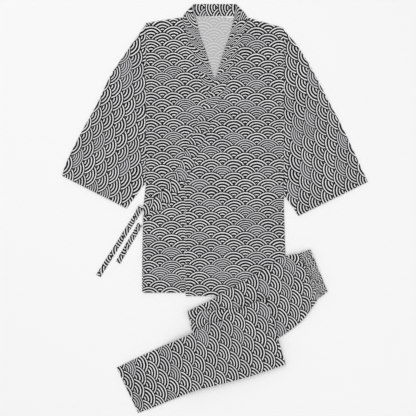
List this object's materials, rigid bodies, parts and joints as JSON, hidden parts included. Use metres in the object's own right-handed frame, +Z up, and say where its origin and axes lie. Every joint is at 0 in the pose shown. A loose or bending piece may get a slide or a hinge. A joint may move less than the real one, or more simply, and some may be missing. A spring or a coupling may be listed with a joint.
{
  "type": "jinbei set",
  "caption": "Short wrap jacket with wide sleeves, collar band and ties, laid flat front up, and matching elastic-waist trousers folded in three over its lower corner.",
  "frame": {"origin": "on the surface the set lies on, at the middle of the set's overall width and length", "axes": "+Z up from the surface, +Y towards the jacket's neck, +X towards the wearer's left sleeve"},
  "size_m": [0.916, 1.226, 0.0212],
  "materials": {
    "jacket_cotton": "matte plain-weave cotton, black ground with off-white wave scales",
    "jacket_inside": "matte wrong side of the printed cotton, pale grey with the print showing through faintly",
    "collar_cotton": "matte printed cotton sewn double",
    "tie_cotton": "matte printed cotton sewn into narrow ties",
    "trouser_cotton": "matte plain-weave cotton with the same wave print, gathered at the waist"
  },
  "bodies": {
    "root": {"back": "jacket_inside", "front_right": "jacket_cotton", "okumi_right": "jacket_cotton", "collar_right": "collar_cotton", "front_left": "jacket_cotton", "okumi_left": "jacket_cotton", "collar_left": "collar_cotton", "collar_back": "collar_cotton", "sleeve_right": "jacket_cotton", "sleeve_left": "jacket_cotton", "tie_upper": "tie_cotton", "tie_lower": "tie_cotton", "leg_right": "trouser_cotton", "leg_left": "trouser_cotton", "waistband": "trouser_cotton"}
  },
  "joints": []
}
